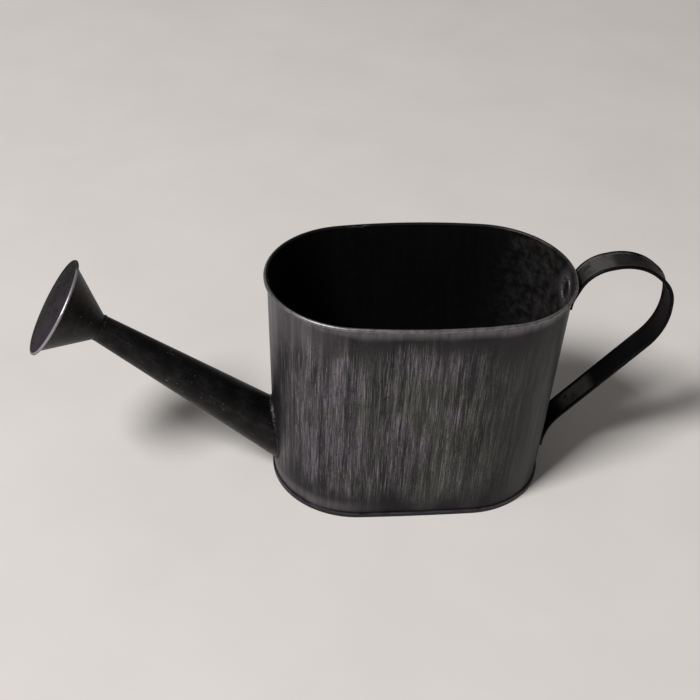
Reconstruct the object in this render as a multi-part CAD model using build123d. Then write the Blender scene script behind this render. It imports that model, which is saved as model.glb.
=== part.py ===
from build123d import *
import math
import os

# An oval watering can of folded sheet metal, in millimetres.
# +Z is up, the spout points along -X and the handle along +X. The origin is the middle of
# the oval ring that the can stands on.

# Metal that everything is made of
sheet = 0.6
wire_radius = 0.85
solder = 1.8

# Body: the wall is measured on its outside, the rim along its wire. Each bow is how far the
# middle of a long side stands out past the round ends.
height = 160.5
base_length = 187.4
base_width = 113.7
base_bow = 0.45
rim_length = 200.0
rim_width = 123.0
rim_bow = 2.7
wire_clearance = 0.05
seam_lap = 6.0

# Base pan: a tray set up off the floor, hemmed round the foot of the wall
pan_recess = 3.0
hem_height = 3.2
hem_thickness = 1.0
hem_clearance = 0.05

# Spout: a straight cone
spout_root_height = 36.1
spout_angle = 37.8
spout_length = 141.2
spout_root_radius = 17.9
spout_tip_radius = 8.9

# Rose: a flared cone closed by a domed plate with punched holes
rose_angle = 31.8
rose_length = 32.6
rose_radius = 33.0
rose_neck_length = 1.5
neck_solder = 0.6
rose_dome = 1.8
crimp_radius = 0.9
crimp_clearance = 0.05
rose_hole_radius = 1.0
# each hole, punched by hand in loose rings: how far from the middle, and its angle
rose_holes = [
    (6.9, -107),
    (6.8, 164),
    (10.7, 35),
    (13.7, -34),
    (14.0, 101),
    (20.7, 71),
    (21.4, -148),
    (22.4, -92),
    (22.4, -119),
    (23.1, 156),
    (28.4, -36),
    (28.5, 104),
]

# Handle: one strap with rolled edges, lying on the wall at both ends
strap_width = 19.6
strap_thickness = 0.8
strap_bead_radius = 1.2
strap_gap = 0.45
strap_pad_clearance = 0.05
strap_top_drop = 25.0
strap_foot_height = 17.5
strap_top_bend = 18.3
strap_top_bend_radius = 18.5
strap_foot_bend = 33.2
strap_foot_bend_radius = 42.0
# each corner of the grip: how far out from the wall, how far above the rim, bend radius
strap_corners = [
    (9.0, 3.0, 24.5),
    (41.9, 10.0, 35.4),
    (67.8, -11.3, 26.0),
    (70.7, -43.5, 44.0),
]
solder_pad_radius = 5.0
top_pad_drop = 19.0
bottom_pad_height = 23.0

# Sizes that follow from the ones above
base_end_radius = base_width / 2 - base_bow
rim_end_radius = rim_width / 2 - rim_bow
curl_radius = wire_radius + sheet
rim_height = height - curl_radius
tie_in = 0.05
rim_inset = curl_radius - sheet - tie_in
wall_foot = sheet + hem_clearance
pan_top = pan_recess + sheet
far = 400.0


def oval(length, width, end_radius, level):
    """A closed oval of four tangent arcs: two ends and two slightly bowed sides."""
    end_centre = length / 2 - end_radius
    bow_radius = (width**2 / 4 + end_centre**2 - end_radius**2) / (width - 2 * end_radius)
    turn = math.atan2(bow_radius - width / 2, end_centre)
    x = end_centre + end_radius * math.cos(turn)
    y = end_radius * math.sin(turn)
    corners = [(x, -y), (x, y), (-x, y), (-x, -y)]
    tops = [(length / 2, 0), (0, width / 2), (-length / 2, 0), (0, -width / 2)]
    arcs = []
    for i, top in enumerate(tops):
        start, end = corners[i], corners[(i + 1) % 4]
        arcs.append(ThreePointArc((*start, level), (*top, level), (*end, level)))
    return Wire(arcs)


def wall_form(grow):
    """The tapered oval block inside the wall's outside face, with that face moved out by grow."""
    foot = oval(base_length + 2 * grow, base_width + 2 * grow, base_end_radius + grow, 0)
    out = grow - rim_inset
    top = oval(rim_length + 2 * out, rim_width + 2 * out, rim_end_radius + out, rim_height)
    return Solid.make_loft([foot, top], ruled=True)


def between(low, high):
    """A slab from one height to another, wider than the can."""
    return Pos(0, 0, low) * Box(far, far, high - low, align=(Align.CENTER, Align.CENTER, Align.MIN))


def wall_ring(outer, inner, low, high):
    """A ring that follows the wall, between two offsets from its outside face."""
    return (wall_form(outer) - wall_form(inner)) & between(low, high)


def wall_x(level):
    """Half the length of the wall's outside face at a height."""
    foot, top = base_length / 2, rim_length / 2 - rim_inset
    return foot + (top - foot) * level / rim_height


def rim_tube(radius):
    """A round bar along the rim's wire."""
    route = oval(rim_length, rim_width, rim_end_radius, rim_height)
    section = Plane(origin=route @ 0, z_dir=route % 0) * Circle(radius)
    return sweep(section, route)


wall_slope = math.degrees(math.atan2(wall_x(rim_height) - wall_x(0), rim_height))

# Spout frame: its origin is where the spout's axis meets the wall
spout_axis = Vector(-math.cos(math.radians(spout_angle)), 0, math.sin(math.radians(spout_angle)))
spout_root = Vector(-wall_x(spout_root_height), 0, spout_root_height)
spout_tip = spout_root + spout_axis * spout_length
spout_taper = (spout_root_radius - spout_tip_radius) / spout_length

# Rose frame: its origin is the middle of the spout's tip, where both cones are mitred
rose_axis = Vector(-math.cos(math.radians(rose_angle)), 0, math.sin(math.radians(rose_angle)))
rose_plane = Plane(origin=spout_tip, x_dir=(0, 1, 0), z_dir=rose_axis)
mitre = Plane(origin=spout_tip, z_dir=spout_axis + rose_axis)


def spout_cone(grow, start, end):
    """A solid piece of the spout's cone, moved out by grow, between two places on its axis."""
    plane = Plane(origin=spout_root + spout_axis * start, z_dir=spout_axis)
    radii = [spout_root_radius + grow - spout_taper * s for s in (start, end)]
    return plane * Cone(radii[0], radii[1], end - start, align=(Align.CENTER, Align.CENTER, Align.MIN))


def spout_bore():
    """The space inside the spout, run on through the wall into the tank."""
    return spout_cone(-sheet, -solder * 10, spout_length + solder * 10)


def body_shell():
    """The wall, one sheet lapped at the spout's end and curled outwards round the rim wire."""
    wall = wall_ring(0, -sheet, wall_foot, rim_height)
    lap = wall_ring(-sheet, -2 * sheet, pan_top + solder, rim_height - 2 * curl_radius)
    lap &= Pos(-far / 2, 0, 0) * Box(far, seam_lap, far)
    shell = wall + rim_tube(curl_radius) + lap
    shell -= rim_tube(wire_radius + wire_clearance)
    return shell - spout_bore()


def side_seam_solder():
    """The run of solder along the inner edge of the wall's lap."""
    run = wall_ring(-sheet, -2 * sheet, pan_top + solder, rim_height - 2 * curl_radius)
    run &= Pos(-far / 2, seam_lap / 2 + sheet, 0) * Box(far, 2 * sheet, far)
    return run - spout_bore()


def base_pan():
    """The base: a plate, a skirt down inside the wall, and a hem up round the outside of it."""
    inner = -sheet - hem_clearance
    plate = wall_form(inner) & between(pan_recess, pan_top)
    skirt = wall_ring(inner, inner - sheet, 0, pan_recess)
    foot = wall_ring(hem_clearance + hem_thickness, inner, 0, sheet)
    hem = wall_ring(hem_clearance + hem_thickness, hem_clearance, sheet, hem_height)
    return plate + skirt + foot + hem


def base_solder():
    """The ring of solder in the corner between the pan and the wall."""
    return wall_ring(-sheet, -sheet - solder, pan_top, pan_top + solder)


def spout_tube():
    """The spout, cut to the wall at its root and mitred to the rose at its tip."""
    tube = spout_cone(0, -spout_root_radius, spout_length + solder)
    tube -= spout_cone(-sheet, -spout_root_radius, spout_length + solder)
    tube -= wall_form(0)
    return split(tube, bisect_by=mitre, keep=Keep.BOTTOM)


def spout_solder():
    """The bead of solder round the spout where it stands on the wall."""
    bead = spout_cone(solder, -spout_root_radius, spout_root_radius * 2) & wall_form(solder)
    return bead - spout_cone(0, -far / 4, spout_root_radius * 3) - wall_form(0)


def revolved(outline):
    """Turns an outline of (radius, distance along the axis) points about the rose's axis."""
    face = make_face(Polyline(*[(r, 0, t) for r, t in outline], close=True))
    return rose_plane * revolve(face, Axis.Z)


# The middle of the crimp that clasps the rose cone's flange
crimp_middle = rose_length - crimp_radius
crimp_circle = rose_radius - crimp_radius


def rose_flange(clearance):
    """The flange at the mouth of the rose cone, with a clearance all over."""
    half = sheet / 2 + clearance
    low, high = crimp_middle - half, crimp_middle + half
    inside = crimp_circle - 1.5 * crimp_radius
    outside = crimp_circle + crimp_radius / 2 + clearance
    return revolved([(inside, low), (outside, low), (outside, high), (inside, high)])


def rose_outline(start):
    """The outside of the rose cone, from a place on its axis to its mouth."""
    neck = spout_tip_radius + tie_in
    mouth = crimp_circle - crimp_radius - tie_in
    return [(neck, start), (neck, rose_neck_length), (mouth, crimp_middle + sheet / 2)]


def rose_cone():
    """The rose's flared cone, mitred on the spout at its neck, with a flange at its mouth."""
    outer = rose_outline(-solder)
    neck, mouth, end = outer[0][0], outer[2][0], outer[2][1]
    inside_neck = neck - sheet
    inner = [(inside_neck, rose_neck_length + sheet / 4), (inside_neck, -solder)]
    cone = revolved([*outer, (mouth - sheet * 1.3, end), *inner]) + rose_flange(0)
    return split(cone, bisect_by=mitre, keep=Keep.TOP)


def rose_face():
    """The domed plate with its punched holes and its edge folded over the cone's flange."""
    rim_radius = crimp_circle
    dome_radius = (rim_radius**2 + rose_dome**2) / (2 * rose_dome)
    top = crimp_middle + crimp_radius / 2 + rose_dome
    centre = Pos(0, 0, top - dome_radius)
    dome = centre * (Sphere(dome_radius) - Sphere(dome_radius - sheet))
    low = crimp_middle + sheet / 2 + crimp_clearance
    dome &= Pos(0, 0, low) * Cylinder(rim_radius, far, align=(Align.CENTER, Align.CENTER, Align.MIN))
    face = rose_plane * (dome + Pos(0, 0, crimp_middle) * Torus(crimp_circle, crimp_radius))
    face -= rose_flange(crimp_clearance)
    for out, turn in rose_holes:
        face -= rose_plane * (Rot(0, 0, turn) * Pos(out, 0, 0) * Cylinder(rose_hole_radius, far))
    return face


def rose_solder():
    """The ring of solder over the mitre between the spout and the rose."""
    ring = mitre * Cylinder(spout_tip_radius + neck_solder, 2 * solder)
    ring -= spout_cone(0, spout_length - 4 * solder, spout_length + 4 * solder)
    return ring - revolved([(0, -2 * solder), *rose_outline(-2 * solder), (0, rose_outline(0)[-1][1])])


def strap_path():
    """The strap's centreline, from its upper end on the wall, round the grip, to its foot."""
    lie = strap_gap + strap_thickness / 2
    top = rim_height - strap_top_bend
    route = [(wall_x(height - strap_top_drop) + lie, height - strap_top_drop)]
    route.append((wall_x(top) + lie, top))
    radii = [strap_top_bend_radius]
    for out, above, bend in strap_corners:
        level = height + above
        route.append((wall_x(level) + out, level))
        radii.append(bend)
    route.append((wall_x(strap_foot_bend) + lie, strap_foot_bend))
    radii.append(strap_foot_bend_radius)
    route.append((wall_x(strap_foot_height) + lie, strap_foot_height))
    return FilletPolyline(*[(x, 0, z) for x, z in route], radius=radii)


def handle_strap():
    """The strap: a flat web between two rolled edges."""
    path = strap_path()
    edge = strap_width / 2 - strap_bead_radius
    section = Rectangle(2 * edge, strap_thickness)
    section += [Pos(side * edge, 0) * Circle(strap_bead_radius) for side in (-1, 1)]
    start = Plane(origin=path @ 0, x_dir=(0, 1, 0), z_dir=path % 0)
    return sweep(start * section, path)


def handle_pad(level):
    """A pad of solder that fills the gap between the wall and the strap."""
    out = Plane(
        origin=(wall_x(level), 0, level),
        x_dir=(0, 1, 0),
        z_dir=(math.cos(math.radians(wall_slope)), 0, -math.sin(math.radians(wall_slope))),
    )
    depth = solder + strap_gap - strap_pad_clearance
    disc = Cylinder(solder_pad_radius, depth, align=(Align.CENTER, Align.CENTER, Align.MIN))
    return out * Pos(0, 0, -solder) * disc - wall_form(0)


pieces = {
    "body_shell": body_shell(),
    "rim_wire": rim_tube(wire_radius),
    "side_seam_solder": side_seam_solder(),
    "base_pan": base_pan(),
    "base_solder": base_solder(),
    "spout_tube": spout_tube(),
    "spout_solder": spout_solder(),
    "rose_cone": rose_cone(),
    "rose_face": rose_face(),
    "rose_solder": rose_solder(),
    "handle_strap": handle_strap(),
    "handle_top_solder": handle_pad(height - top_pad_drop),
    "handle_bottom_solder": handle_pad(bottom_pad_height),
}

os.makedirs("parts", exist_ok=True)
for name, piece in pieces.items():
    export_step(piece, f"parts/{name}.step")
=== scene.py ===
import math
import bpy
from mathutils import Matrix, Vector, noise


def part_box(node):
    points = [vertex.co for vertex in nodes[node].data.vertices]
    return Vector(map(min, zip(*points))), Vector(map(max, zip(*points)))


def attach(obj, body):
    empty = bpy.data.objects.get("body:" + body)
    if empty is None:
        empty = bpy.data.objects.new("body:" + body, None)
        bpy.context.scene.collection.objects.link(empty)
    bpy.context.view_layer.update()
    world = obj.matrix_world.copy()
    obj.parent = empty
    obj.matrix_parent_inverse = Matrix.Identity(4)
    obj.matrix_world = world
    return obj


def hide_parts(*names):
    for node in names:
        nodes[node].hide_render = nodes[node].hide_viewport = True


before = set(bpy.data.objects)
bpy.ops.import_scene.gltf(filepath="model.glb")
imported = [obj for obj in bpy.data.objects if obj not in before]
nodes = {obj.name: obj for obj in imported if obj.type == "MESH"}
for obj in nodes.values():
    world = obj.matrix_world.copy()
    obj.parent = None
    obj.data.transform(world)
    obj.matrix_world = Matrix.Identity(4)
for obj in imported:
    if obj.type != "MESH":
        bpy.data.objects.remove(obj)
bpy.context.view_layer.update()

# ---------------------------------------------------------------------------------------
# The wall: one sheet of blackened steel bent to an oval and lapped at the spout's end. The
# black is rubbed back by hand with up-and-down strokes, so fine pale streaks run down the
# outside, while the inside keeps its full black. Its top is curled out round a wire.
# ---------------------------------------------------------------------------------------


class Value:
    """A number that varies over a surface, and the node sums that are made from it."""

    def __init__(self, finish, socket):
        self.finish = finish
        self.socket = socket

    def sum(self, operation, *numbers):
        inputs = dict(enumerate(numbers))
        return self.finish.node("ShaderNodeMath", {"operation": operation}, inputs)

    def __add__(self, other):
        return self.sum("ADD", self, other)

    __radd__ = __add__

    def __sub__(self, other):
        return self.sum("SUBTRACT", self, other)

    def __rsub__(self, other):
        return self.sum("SUBTRACT", other, self)

    def __mul__(self, other):
        return self.sum("MULTIPLY", self, other)

    __rmul__ = __mul__

    def __pow__(self, other):
        return self.sum("POWER", self, other)

    def larger(self, other):
        return self.sum("MAXIMUM", self, other)

    def smaller(self, other):
        return self.sum("MINIMUM", self, other)

    def size(self):
        return self.sum("ABSOLUTE", self)


class Finish:
    """One material, made node by node."""

    def __init__(self, name):
        self.material = bpy.data.materials.new(name)
        self.material.use_nodes = True
        self.tree = self.material.node_tree
        self.tree.nodes.clear()

    def node(self, kind, settings=None, inputs=None, output=0):
        made = self.tree.nodes.new(kind)
        for key, value in (settings or {}).items():
            setattr(made, key, value)
        for key, value in (inputs or {}).items():
            if isinstance(value, Value):
                self.tree.links.new(value.socket, made.inputs[key])
            else:
                made.inputs[key].default_value = value
        return Value(self, made.outputs[output]) if made.outputs else made

    def place(self):
        return self.node("ShaderNodeTexCoord", output="Object")

    def along(self, vector):
        """The X, Y and Z of a vector, as three Values."""
        split = self.node("ShaderNodeSeparateXYZ", inputs={0: vector})
        return [Value(self, socket) for socket in split.socket.node.outputs]

    def stretch(self, vector, amounts):
        return self.node("ShaderNodeVectorMath", {"operation": "MULTIPLY"}, {0: vector, 1: amounts})

    def cloud(self, vector, grain, detail=3, roughness=0.5):
        """Noise from 0 to 1 whose lumps are about grain metres across."""
        inputs = {"Vector": vector, "Scale": 1 / grain, "Detail": detail, "Roughness": roughness}
        return self.node("ShaderNodeTexNoise", inputs=inputs)

    def step(self, value, low, high, start=0.0, end=1.0):
        """A smooth rise from start to end as value goes from low to high."""
        settings = {"interpolation_type": "SMOOTHSTEP", "clamp": True}
        inputs = {"Value": value, "From Min": low, "From Max": high, "To Min": start, "To Max": end}
        return self.node("ShaderNodeMapRange", settings, inputs)

    def window(self, value, low, low_full, high_full, high):
        """1 while value is between two levels, with a soft edge on each side."""
        return self.step(value, low, low_full) * self.step(value, high, high_full)

    def blend(self, share, first, second):
        """One colour over another, by share."""
        settings = {"data_type": "RGBA", "clamp_factor": True}
        return self.node("ShaderNodeMix", settings, {0: share, 6: first, 7: second}, output=2)

    def from_axis(self, start, way):
        """How far along a line from its start each place lies, and how far out from it."""
        inputs = {0: self.place(), 1: start}
        reach = self.node("ShaderNodeVectorMath", {"operation": "SUBTRACT"}, inputs)
        dot, length = {"operation": "DOT_PRODUCT"}, {"operation": "LENGTH"}
        along = self.node("ShaderNodeVectorMath", dot, {0: reach, 1: way}, output=1)
        whole = self.node("ShaderNodeVectorMath", length, {0: reach}, output=1)
        return along, (whole * whole - along * along).larger(0) ** 0.5

    def bump(self, height, distance, strength=1.0):
        inputs = {"Height": height, "Distance": distance, "Strength": strength}
        return self.node("ShaderNodeBump", inputs=inputs)

    def surface(self, **inputs):
        """Ends the material in a shader with these sockets, spaces in their names given as _."""
        values = {key.replace("_", " "): value for key, value in inputs.items()}
        shader = self.node("ShaderNodeBsdfPrincipled", inputs=values)
        self.node("ShaderNodeOutputMaterial", inputs={"Surface": shader})
        return self.material


def paint(name, material):
    """Gives a CAD piece its material."""
    nodes[name].data.materials.clear()
    nodes[name].data.materials.append(material)


def wall_finish():
    finish = Finish("rubbed_black_steel")
    place = finish.place()
    x, y, z = finish.along(place)
    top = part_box("body_shell")[1].z
    # the wall narrows downwards, so the streaks lean with it
    taper = 1 + (top - z) * 0.37
    lean = finish.node("ShaderNodeCombineXYZ", inputs={0: x * taper, 1: y * taper, 2: z})
    # the outside of the sheet faces away from the line through the middle of the oval
    centre = x.larger(-0.038).smaller(0.038)
    facing = finish.along(finish.node("ShaderNodeNewGeometry", output="Normal"))
    outside = finish.step((x - centre) * facing[0] + y * facing[1], -0.002, 0.002)

    patch = finish.cloud(finish.stretch(lean, (1, 1, 0.45)), 0.03, 4, 0.55)
    sway = (patch - 0.5) * 0.05
    broad = finish.cloud(finish.stretch(lean, (1, 1, 0.06)), 0.0046, 4, 0.6)
    fine = finish.cloud(finish.stretch(lean, (1, 1, 0.03)), 0.00062, 4, 0.7)
    hair = finish.cloud(finish.stretch(lean, (1, 1, 0.02)), 0.0004, 3, 0.65)
    speck = finish.cloud(finish.stretch(lean, (1, 1, 0.5)), 0.0011, 3, 0.6)
    # the strokes stop short of the rim and the foot, and die out towards the handle
    band = finish.window(z + sway, 0.004, 0.034, 0.128, 0.15)
    handle_fade = finish.step(x + sway, 0.075, 0.0, 0.15, 1)
    reach = band * (handle_fade * finish.step(x + sway, -0.097, -0.08, 0.25, 1))
    strokes = finish.step(fine + (broad - 0.5) * 0.35, 0.45, 0.64)
    scratches = finish.step(hair + (broad - 0.5) * 0.35, 0.52, 0.68)

    violet, olive = (0.125, 0.113, 0.131, 1), (0.095, 0.096, 0.085, 1)
    tint = finish.step(finish.cloud(lean, 0.026, 2) + (x + 0.02) * 2.2, 0.4, 0.62)
    pale = finish.blend(tint, violet, olive)
    bright = finish.blend(tint, (0.34, 0.315, 0.35, 1), (0.26, 0.262, 0.235, 1))
    # painted shade: the smoky patches thin out towards the handle, so that end is darker
    shade_towards_handle = finish.step(x + sway, -0.02, 0.08, 1, 0.5)
    black, smoky = (0.013, 0.012, 0.0135, 1), (0.036, 0.034, 0.037, 1)
    dark = finish.blend(finish.step(patch, 0.35, 0.65) * shade_towards_handle, black, smoky)
    skin = finish.blend(finish.step(broad, 0.35, 0.65) * reach * 0.35, dark, pale)
    skin = finish.blend(strokes * reach * 0.85, skin, pale)
    skin = finish.blend(scratches * reach * 0.75, skin, bright)
    skin = finish.blend(finish.step(speck, 0.62, 0.75) * reach * 0.3, skin, bright)
    skin = finish.blend(finish.step(speck, 0.46, 0.3) * 0.7, skin, (0.012, 0.011, 0.012, 1))
    # a painted sheen band runs under the rim all round; at the spout's end a lighter
    # crescent sits below the rim, and a painted highlight lies above the hem
    spout_end = finish.step(x + sway, -0.05, -0.09)
    under_rim_sheen = finish.window(z + sway * 0.1, 0.1495, 0.157, 0.1572, 0.1576)
    crescent = finish.window(z + sway, 0.118, 0.146, 0.157, 0.158) * spout_end
    above_hem_highlight = finish.window(z + sway * 0.2, 0.002, 0.006, 0.008, 0.015)
    above_hem_highlight = above_hem_highlight * finish.step(x + sway, -0.02, -0.07)
    wear_and_highlight = (under_rim_sheen * 0.9).larger(crescent * 0.6).larger(above_hem_highlight * 0.5)
    skin = finish.blend(wear_and_highlight * finish.step(broad, 0.25, 0.6, 0.5, 1), skin, (0.2, 0.185, 0.205, 1))
    # painted shade: a dark line where the rim's curl meets the wall
    painted_crease_shading = finish.window(z, 0.1571, 0.1575, 0.158, 0.1584)
    skin = finish.blend(painted_crease_shading * 0.9, skin, (0.004, 0.004, 0.004, 1))
    # the curl is a lighter polished grey with nicks, part wear and part painted sheen
    curl = finish.step(z, top - 0.0024, top - 0.002)
    nicks = finish.step(finish.cloud(place, 0.004, 4, 0.7), 0.35, 0.6)
    polished_and_sheen = finish.blend(nicks, (0.13, 0.126, 0.127, 1), (0.22, 0.213, 0.21, 1))
    skin = finish.blend(curl, skin, polished_and_sheen)
    # inside, the full black is mottled, and a mottled patch of painted light greys it
    # towards the handle's end, more so higher up
    mottle = finish.cloud(place, 0.007, 5, 0.7)
    inside_black_and_light = finish.blend(mottle, (0.004, 0.0033, 0.0033, 1), (0.019, 0.0165, 0.0165, 1))
    light_at_handle_end = finish.step(x + (mottle - 0.5) * 0.05, 0.06, 0.1) * finish.step(z, 0.04, 0.12)
    brown, lit_grey = (0.02, 0.018, 0.018, 1), (0.085, 0.081, 0.078, 1)
    painted_light_patch = finish.blend(finish.step(mottle, 0.34, 0.7), brown, lit_grey)
    inside_black_and_light = finish.blend(light_at_handle_end * 0.9, inside_black_and_light, painted_light_patch)
    # the heat of the handle's weld left a pale ring of scale on the inside
    ring = (((y - 0.003) * 1.2) ** 2 + (z - 0.1433) ** 2) ** 0.5 + (mottle - 0.5) * 0.006
    halo = finish.window(ring, 0.004, 0.0075, 0.0085, 0.017) * finish.step(x, 0.07, 0.08)
    inside_black_and_light = finish.blend(halo * 0.75, inside_black_and_light, (0.2, 0.185, 0.205, 1))
    # the inside black also covers the inner half of the rim's curl, there partly as painted shade
    shown = finish.step(outside, 0.2, 0.8)
    colour = finish.blend(shown, inside_black_and_light, skin)
    rough = finish.step(broad, 0, 1, 0.52, 0.38) - strokes * reach * 0.05
    rough = rough + (1 - shown) * 0.06 - curl * 0.04
    height = fine * 0.5 + speck * 0.3 + patch * 0.8
    normal = finish.bump(height, 0.00007)
    return finish.surface(Base_Color=colour, Metallic=0.75, Roughness=rough, Normal=normal)


paint("body_shell", wall_finish())


# ---------------------------------------------------------------------------------------
# Inside the rim and the seams: a drawn wire that the curl hides, and runs of solder that
# make the seams tight. The solder was blackened with the rest.
# ---------------------------------------------------------------------------------------


def solder_finish():
    finish = Finish("blackened_solder")
    place = finish.place()
    lumps = finish.cloud(place, 0.0016, 3, 0.6)
    # lighter patches on the lumps, part wear and part painted highlight
    wear_and_highlight = finish.step(lumps * 0.6 + finish.cloud(place, 0.0006, 2) * 0.4, 0.5, 0.62)
    colour = finish.blend(wear_and_highlight * 0.8, (0.008, 0.0075, 0.008, 1), (0.1, 0.094, 0.1, 1))
    normal = finish.bump(lumps, 0.0005, 0.8)
    rough = lumps * 0.3 + 0.28
    return finish.surface(Base_Color=colour, Metallic=0.6, Roughness=rough, Normal=normal)


solder_metal = solder_finish()
for name in ("side_seam_solder", "base_solder", "rim_wire"):
    paint(name, solder_metal)
for name in ("handle_top_solder", "handle_bottom_solder"):
    paint(name, solder_metal)


# ---------------------------------------------------------------------------------------
# The base: a shallow pan set up inside the wall, with its edge folded up round the foot of
# the wall as a hem. The can stands on the fold, which carries a few light scuffs, and a painted
# highlight runs along the top of the hem.
# ---------------------------------------------------------------------------------------


def base_finish():
    finish = Finish("blackened_base")
    place = finish.place()
    z = finish.along(place)[2]
    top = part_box("base_pan")[1].z
    cloud = finish.cloud(place, 0.012, 4, 0.6)
    # painted highlight along the top of the hem
    edge_highlight_band = finish.step(z, 0.0024, 0.0031) * finish.step(z, top, 0.0033)
    edge_highlight_band = edge_highlight_band * finish.step(cloud, 0.3, 0.55)
    scuff = finish.step(finish.cloud(finish.stretch(place, (1, 1, 3)), 0.003, 3), 0.55, 0.68)
    colour = finish.blend(cloud, (0.018, 0.017, 0.018, 1), (0.032, 0.03, 0.033, 1))
    colour = finish.blend(edge_highlight_band * 0.7, colour, (0.12, 0.112, 0.13, 1))
    colour = finish.blend(scuff * 0.25, colour, (0.1, 0.1, 0.1, 1))
    normal = finish.bump(cloud, 0.0002)
    rough = cloud * 0.3 + 0.3
    return finish.surface(Base_Color=colour, Metallic=0.75, Roughness=rough, Normal=normal)


paint("base_pan", base_finish())


# ---------------------------------------------------------------------------------------
# The spout: a cone of the same sheet, left nearly black, with faint strokes along it and a
# few specks. It is cut to the wall at its foot and welded there.
# ---------------------------------------------------------------------------------------


def spout_finish(name, start, way, dark, light):
    finish = Finish(name)
    place = finish.place()
    along = finish.from_axis(start, way)[0]
    x, y, z = finish.along(place)
    # strokes run along the cone, so their pattern is squeezed along its axis
    drawn_inputs = {0: along * 0.05, 1: y, 2: z - along * way.z}
    drawn = finish.node("ShaderNodeCombineXYZ", inputs=drawn_inputs)
    strokes = finish.cloud(drawn, 0.0012, 3, 0.6)
    cloud = finish.cloud(place, 0.012, 5, 0.65)
    grain = finish.cloud(place, 0.0011, 3, 0.6)
    rubbed = finish.step(strokes * 0.5 + cloud * 0.5, 0.5, 0.62)
    colour = finish.blend(finish.step(cloud, 0.35, 0.7), dark, light)
    colour = finish.blend(rubbed * 0.3, colour, (0.045, 0.041, 0.041, 1))
    # small scratches in loose groups, where the spout knocks against things
    knocks = finish.step(finish.cloud(place, 0.02, 2), 0.56, 0.64)
    speck = finish.step(finish.cloud(place, 0.0014, 2, 0.4), 0.66, 0.72) * knocks
    colour = finish.blend(speck * 0.7, colour, (0.2, 0.19, 0.195, 1))
    rough = 0.36 + cloud * 0.22 - rubbed * 0.05
    normal = finish.bump(grain * 0.3 + cloud + strokes * 0.3, 0.0002)
    return finish.surface(Base_Color=colour, Metallic=0.7, Roughness=rough, Normal=normal)


spout_start = Vector((-0.0949, 0, 0.0361))
spout_turn = math.radians(37.8)
spout_way = Vector((-math.cos(spout_turn), 0, math.sin(spout_turn)))
spout_dark, spout_light = (0.004, 0.0037, 0.004, 1), (0.013, 0.012, 0.012, 1)
spout_metal = spout_finish("spout_black", spout_start, spout_way, spout_dark, spout_light)
paint("spout_tube", spout_metal)

# The weld round the spout's foot: one run of metal laid by hand where the cone meets the
# wall, thin under the spout and heaped in lumps on top of it, then blackened.
spout_rise = Vector((math.sin(spout_turn), 0, math.cos(spout_turn)))
spout_foot_radius = 0.0179
spout_taper = 0.06374
# half the wall's length and the radius of its round ends, at the foot and what they gain
# by the level of the rim's wire
wire_level = 0.15905
wall_half, wall_half_gain = 0.0937, 0.0055
end_radius_foot, end_radius_gain = 0.0564, 0.0016


def wall_end(level):
    """The centre and the radius of the wall's round end at a level, both along X."""
    share = level / wire_level
    radius = end_radius_foot + end_radius_gain * share
    return wall_half + wall_half_gain * share - radius, radius


def inside_wall(point):
    """Whether a point lies within the wall's outside face, at the spout's end."""
    centre, radius = wall_end(point.z)
    return math.hypot(point.x + centre, point.y) < radius


def on_spout(turn, along):
    """A point on the spout's outside, by the turn about its axis and the length along it."""
    radius = spout_foot_radius - spout_taper * along
    side = Vector((0, math.sin(turn), 0)) + spout_rise * math.cos(turn)
    return spout_start + spout_way * along + side * radius


def joint_point(turn):
    """Where a line along the spout meets the wall."""
    low, high = -0.03, 0.05
    for _ in range(40):
        middle = (low + high) / 2
        if inside_wall(on_spout(turn, middle)):
            low = middle
        else:
            high = middle
    return on_spout(turn, low)


def laid_bead(name, points, sizes, lumpy, material, sides=12):
    """A closed run of weld metal through points, as thick as sizes, with a lumpy skin."""
    vertices, faces = [], []
    count = len(points)
    middle = sum(points, Vector()) / count
    for i, (point, size) in enumerate(zip(points, sizes)):
        ahead = (points[(i + 1) % count] - points[i - 1]).normalized()
        side = ahead.cross(point - middle).normalized()
        out = side.cross(ahead)
        for j in range(sides):
            around = 2 * math.pi * j / sides
            way = out * math.cos(around) + side * math.sin(around)
            skin = point + way * size
            vertices.append(skin + way * lumpy * noise.noise(skin * 520))
            here, there = i * sides, (i + 1) % count * sides
            k = (j + 1) % sides
            faces.append((here + j, here + k, there + k, there + j))
    mesh = bpy.data.meshes.new(name)
    mesh.from_pydata(vertices, [], faces)
    mesh.shade_smooth()
    mesh.materials.append(material)
    piece = bpy.data.objects.new(name, mesh)
    bpy.context.scene.collection.objects.link(piece)
    return piece


joint, thickness = [], []
joint_steps = 220
for i in range(joint_steps):
    turn = 2 * math.pi * i / joint_steps
    point = joint_point(turn)
    heap = max(0, math.cos(turn + 0.5)) ** 2
    lump = noise.noise(point * 170) + 0.5 * noise.noise(point * 420)
    joint.append(point + spout_way * 0.0001)
    thickness.append(0.0009 + 0.0019 * heap + (0.0003 + 0.0012 * heap) * lump)
spout_weld = laid_bead("spout_weld", joint, thickness, 0.00035, solder_metal)
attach(spout_weld, "root")
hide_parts("spout_solder")

# ---------------------------------------------------------------------------------------
# The rose: a flared cone soldered on the spout's tip, closed by a domed plate with punched
# holes. The plate's edge is folded over the cone's flange, with a painted highlight along the fold.
# ---------------------------------------------------------------------------------------

spout_length = 0.1412
neck = spout_start + spout_way * spout_length
rose_turn = math.radians(31.8)
rose_way = Vector((-math.cos(rose_turn), 0, math.sin(rose_turn)))


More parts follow.
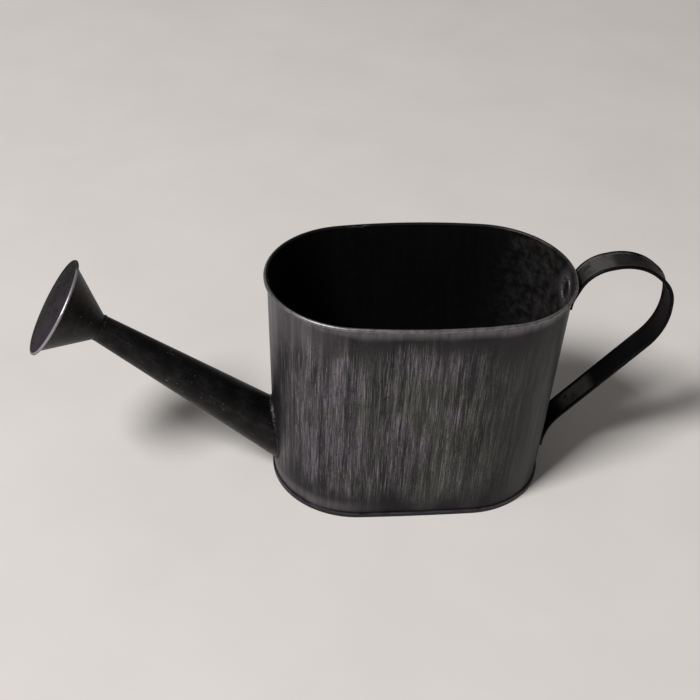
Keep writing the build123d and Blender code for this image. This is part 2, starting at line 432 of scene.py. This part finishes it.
def rose_face_finish():
    finish = Finish("rubbed_rose_face")
    place = finish.place()
    out = finish.from_axis(neck, rose_way)[1]
    y = finish.along(place)[1]
    cloud = finish.cloud(place, 0.009, 3, 0.6)
    strokes = finish.cloud(finish.stretch(place, (1, 0.25, 1)), 0.0011, 3, 0.6)
    black, plum = (0.017, 0.015, 0.018, 1), (0.045, 0.04, 0.047, 1)
    colour = finish.blend(finish.step(strokes, 0.4, 0.65), black, plum)
    colour = finish.blend(finish.step(cloud, 0.35, 0.6) * 0.5, colour, (0.026, 0.027, 0.023, 1))
    normal = finish.bump(strokes * 0.4 + cloud, 0.00015)
    # painted violet sheen on the near side, and a painted highlight on the fold at the edge,
    # strongest on the near side
    violet_sheen = finish.step(y, 0.012, -0.022) * finish.step(cloud, 0.25, 0.6, 0.5, 1)
    colour = finish.blend(violet_sheen * 0.7, colour, (0.085, 0.074, 0.09, 1))
    fold = finish.step(out + (cloud - 0.5) * 0.0003, 0.0314, 0.0318)
    wear_and_highlight = fold * finish.step(y + (cloud - 0.5) * 0.012, 0.004, -0.004, 0.12, 1)
    colour = finish.blend(wear_and_highlight, colour, (0.4, 0.37, 0.41, 1))
    burr = finish.step(strokes, 0.55, 0.7)
    colour = finish.blend(burr * 0.3, colour, (0.1, 0.095, 0.1, 1))
    rough = cloud * 0.2 + 0.42 - wear_and_highlight * 0.1
    sockets = {"Metallic": 0.8, "Roughness": rough, "Specular_Tint": (0.3, 0.28, 0.31, 1)}
    return finish.surface(Base_Color=colour, Normal=normal, **sockets)


rose_dark, rose_light = (0.007, 0.0065, 0.0065, 1), (0.022, 0.022, 0.018, 1)
paint("rose_cone", spout_finish("rose_black", neck, rose_way, rose_dark, rose_light))
paint("rose_face", rose_face_finish())

# The weld at the rose's neck: a thin, slightly lumpy run over the mitre between the cones.
neck_radius = 0.0087
neck_steps = 120
neck_ring, neck_sizes = [], []
mitre_way = (spout_way + rose_way).normalized()
mitre_rise = Vector((0, 1, 0)).cross(mitre_way)
for i in range(neck_steps):
    turn = 2 * math.pi * i / neck_steps
    side = Vector((0, math.sin(turn), 0)) + mitre_rise * math.cos(turn)
    neck_ring.append(neck + side * neck_radius)
    neck_sizes.append(0.0005 + 0.0002 * noise.noise(side * 2.5))
neck_weld = laid_bead("neck_weld", neck_ring, neck_sizes, 0.0003, solder_metal)
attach(neck_weld, "root")
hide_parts("rose_solder")

# ---------------------------------------------------------------------------------------
# The handle: one strap with both edges rolled, soldered to the wall at each end. Hands
# have rubbed the flat of its upper side to a satin grey, which painted sheen lightens further,
# and painted highlights run along the rolled edges.
# ---------------------------------------------------------------------------------------


def handle_finish():
    finish = Finish("handle_black")
    place = finish.place()
    x, y, z = finish.along(place)
    strap_low, strap_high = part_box("handle_strap")
    half = (strap_high.y - strap_low.y) / 2
    facing = finish.node("ShaderNodeNewGeometry", output="Normal")
    facing_z = finish.along(facing)[2]
    cloud = finish.cloud(place, 0.011, 3, 0.6)
    flat = finish.step(y.size(), half - 0.002, half - 0.0028)
    upward_sheen_mask = finish.step(facing_z, 0.1, 0.6)
    # the rubbed grey on the upward-facing flat is part wear and part painted sheen
    rubbed = flat * upward_sheen_mask * finish.step(cloud, 0.3, 0.55, 0.5, 1) * finish.step(z, 0.12, 0.15)
    colour = finish.blend(cloud, (0.003, 0.0027, 0.003, 1), (0.01, 0.0095, 0.0095, 1))
    edge_highlight_band = finish.window(y.size(), half - 0.0034, half - 0.0028, half - 0.0024, half - 0.0019)
    # a paler patch near the wall, part wear and part painted sheen
    near_wall = finish.window(x, 0.104, 0.112, 0.122, 0.128)
    patch = near_wall * flat * upward_sheen_mask * finish.step(cloud, 0.3, 0.5)
    colour = finish.blend(rubbed * 0.7, colour, (0.06, 0.055, 0.054, 1))
    colour = finish.blend(patch * 0.8, colour, (0.17, 0.163, 0.16, 1))
    # painted highlight along the rolled edges of the upper strap
    painted_crease_shading = edge_highlight_band * finish.step(cloud, 0.3, 0.5) * finish.step(z, 0.12, 0.15)
    colour = finish.blend(painted_crease_shading * 0.8, colour, (0.2, 0.187, 0.192, 1))
    normal = finish.bump(cloud, 0.0002)
    rough = cloud * 0.2 + 0.34
    sockets = {"Metallic": 0.75, "Roughness": rough, "Specular_Tint": (0.4, 0.38, 0.4, 1)}
    return finish.surface(Base_Color=colour, Normal=normal, **sockets)


paint("handle_strap", handle_finish())


def scale_finish():
    finish = Finish("grey_scale")
    cloud = finish.cloud(finish.place(), 0.0018, 4, 0.65)
    burnt, pale = (0.03, 0.028, 0.03, 1), (0.2, 0.185, 0.205, 1)
    colour = finish.blend(finish.step(cloud, 0.38, 0.62), burnt, pale)
    normal = finish.bump(cloud, 0.0003)
    rough = cloud * 0.2 + 0.4
    return finish.surface(Base_Color=colour, Metallic=0.6, Roughness=rough, Normal=normal)


# The weld behind the strap's upper end: heat drew a ring of scale on the inside of the wall.
sheet = 0.0006
mark_y, mark_level = 0.0032, 0.1432
mark_half_width, mark_half_height = 0.0068, 0.0084
mark_steps = 64
mark_ring, mark_sizes = [], []
for i in range(mark_steps):
    turn = 2 * math.pi * i / mark_steps
    y = mark_y + mark_half_width * math.cos(turn)
    z = mark_level + mark_half_height * math.sin(turn)
    centre, radius = wall_end(z)
    x = centre + math.sqrt((radius - sheet) ** 2 - y**2)
    mark_ring.append(Vector((x, y, z)))
    mark_sizes.append(0.0005 + 0.0004 * noise.noise(Vector((y, z, x)) * 300))
weld_mark = laid_bead("weld_mark", mark_ring, mark_sizes, 0.0003, scale_finish())
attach(weld_mark, "root")

# ---------------------------------------------------------------------------------------
# Studio: a pale matt floor, and one big soft light from the upper left and the front.
# ---------------------------------------------------------------------------------------

floor_finish = Finish("pale_floor")
floor_cloud = floor_finish.cloud(floor_finish.place(), 0.12, 5, 0.6)
floor_colour = floor_finish.blend(floor_cloud, (0.66, 0.622, 0.595, 1), (0.76, 0.722, 0.69, 1))
floor_paint = floor_finish.surface(Base_Color=floor_colour, Roughness=0.8)
bpy.ops.mesh.primitive_plane_add(size=12, location=(0, 0, 0))
floor = bpy.context.object
floor.name = "floor"
floor.data.materials.append(floor_paint)

lamp = bpy.data.lights.new("key", "AREA")
lamp.size = 1.15
lamp.energy = 190
light = bpy.data.objects.new("key", lamp)
light.location = (-2.2, -1.52, 3.45)
light_target = Vector((0, 0, 0.08))
light.rotation_euler = (light_target - light.location).to_track_quat("-Z", "Y").to_euler()
bpy.context.scene.collection.objects.link(light)
world = bpy.data.worlds.new("studio")
world.use_nodes = True
background = world.node_tree.nodes["Background"]
background.inputs["Color"].default_value = (1.0, 0.985, 0.97, 1)
background.inputs["Strength"].default_value = 0.15
bpy.context.scene.world = world
bpy.context.scene.view_settings.view_transform = "Standard"

# Camera: in front of the can and a little to the spout's side, looking down into it.
azimuth, elevation, roll = (math.radians(angle) for angle in (-7.171, 37.226, 2.947))
flat_ahead = Vector((-math.sin(azimuth), math.cos(azimuth), 0))
ahead = flat_ahead * math.cos(elevation) + Vector((0, 0, -math.sin(elevation)))
level = Vector((math.cos(azimuth), math.sin(azimuth), 0))
upright = level.cross(ahead)
right = level * math.cos(roll) + upright * math.sin(roll)
up = upright * math.cos(roll) - level * math.sin(roll)
camera = bpy.data.objects.new("camera", bpy.data.cameras.new("camera"))
camera.data.sensor_width = 36
camera.data.lens = 61.7
turn = Matrix((right, up, -ahead)).transposed().to_4x4()
camera.matrix_world = Matrix.Translation((-0.1234, -0.6327, 0.5841)) @ turn
bpy.context.scene.collection.objects.link(camera)
bpy.context.scene.camera = camera
